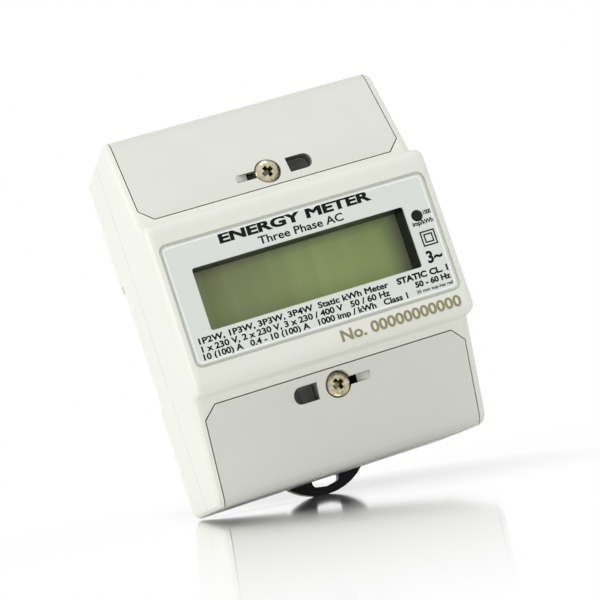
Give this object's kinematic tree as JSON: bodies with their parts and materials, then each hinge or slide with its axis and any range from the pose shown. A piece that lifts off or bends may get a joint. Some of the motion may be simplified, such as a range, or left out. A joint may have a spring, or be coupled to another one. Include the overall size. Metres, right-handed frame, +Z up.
{
  "type": "din rail electricity meter",
  "caption": "Wide DIN-rail electricity meter with a raised display front, sloping screw-fixed terminal covers, terminal blocks and a spring rail latch.",
  "frame": {"origin": "middle of the seat in the rear channel that lies on the rail's front face", "axes": "+Z up on a horizontal rail, -Y towards the reader, +Y towards the wall, +X to the reader's right"},
  "size_m": [0.076, 0.065, 0.1045],
  "materials": {
    "casing": "warm white, fine moulded grain",
    "cover": "light grey-white, fine moulded grain",
    "plated_steel": "pale yellow plating",
    "steel": "bright zinc",
    "nylon": "natural",
    "black_plastic": "near black, satin",
    "label_film": "silver-grey printed film",
    "clear_window": "clear acrylic",
    "lcd_green": "olive-green reflective display",
    "diffuser": "milky",
    "circuit_board": "green solder mask",
    "film_capacitor": "yellow box",
    "capacitor_sleeve": "blue sleeve",
    "varistor_blue": "blue coating",
    "terminal_plastic": "light grey",
    "brass": "plain brass"
  },
  "bodies": {
    "meter": {"front_housing": "casing", "rear_base": "casing", "case_screw_1": "steel", "case_screw_2": "steel", "case_screw_3": "steel", "case_screw_4": "steel", "latch_spring": "steel", "label_plate": "label_film", "display_bezel": "black_plastic", "display_window": "clear_window", "lcd_panel": "lcd_green", "lcd_backlight": "diffuser", "pulse_led": "black_plastic", "display_board": "circuit_board", "metering_board": "circuit_board", "board_link_header": "black_plastic", "metering_chip": "black_plastic", "supply_capacitor": "film_capacitor", "smoothing_capacitor": "capacitor_sleeve", "varistor": "varistor_blue", "top_terminal_block": "terminal_plastic", "bottom_terminal_block": "terminal_plastic", "top_clamp_1": "brass", "top_clamp_screw_1": "plated_steel", "top_clamp_2": "brass", "top_clamp_screw_2": "plated_steel", "top_clamp_3": "brass", "top_clamp_screw_3": "plated_steel", "top_clamp_4": "brass", "top_clamp_screw_4": "plated_steel", "bottom_clamp_1": "brass", "bottom_clamp_screw_1": "plated_steel", "bottom_clamp_2": "brass", "bottom_clamp_screw_2": "plated_steel", "bottom_clamp_3": "brass", "bottom_clamp_screw_3": "plated_steel", "bottom_clamp_4": "brass", "bottom_clamp_screw_4": "plated_steel"},
    "latch": {"rail_latch": "black_plastic"},
    "top_cover": {"top_terminal_cover": "cover"},
    "top_retainer": {"top_screw_retainer": "nylon"},
    "top_screw": {"top_cover_screw": "plated_steel"},
    "bottom_cover": {"bottom_terminal_cover": "cover"},
    "bottom_retainer": {"bottom_screw_retainer": "nylon"},
    "bottom_screw": {"bottom_cover_screw": "plated_steel"}
  },
  "joints": [
    {"name": "top_cover_lift", "type": "slide", "parent": "meter", "child": "top_cover", "axis": [0, -1, 0], "range_m": [0, 0.032]},
    {"name": "top_retainer_slide", "type": "slide", "parent": "top_cover", "child": "top_retainer", "axis": [0, -1, 0], "range_m": [0, 0.00375]},
    {"name": "top_screw_turn", "type": "hinge", "parent": "top_retainer", "child": "top_screw", "pos_m": [0, -0.045, 0.0291], "axis": [0, -1, 0], "range_deg": [0, 2700]},
    {"name": "bottom_cover_lift", "type": "slide", "parent": "meter", "child": "bottom_cover", "axis": [0, -1, 0], "range_m": [0, 0.032]},
    {"name": "bottom_retainer_slide", "type": "slide", "parent": "bottom_cover", "child": "bottom_retainer", "axis": [0, -1, 0], "range_m": [0, 0.00375]},
    {"name": "bottom_screw_turn", "type": "hinge", "parent": "bottom_retainer", "child": "bottom_screw", "pos_m": [0, -0.045, -0.0291], "axis": [0, -1, 0], "range_deg": [0, 2700]},
    {"name": "latch_slide", "type": "slide", "parent": "meter", "child": "latch", "axis": [0, 0, -1], "range_m": [0, 0.005], "stiffness_N_per_m": 400, "springref_m": -0.003, "deforming": ["latch_spring"]}
  ],
  "couplings": [
    {"joint": "top_screw_turn", "follows": "top_retainer_slide", "rad_per_m": 12566},
    {"joint": "bottom_screw_turn", "follows": "bottom_retainer_slide", "rad_per_m": 12566}
  ]
}
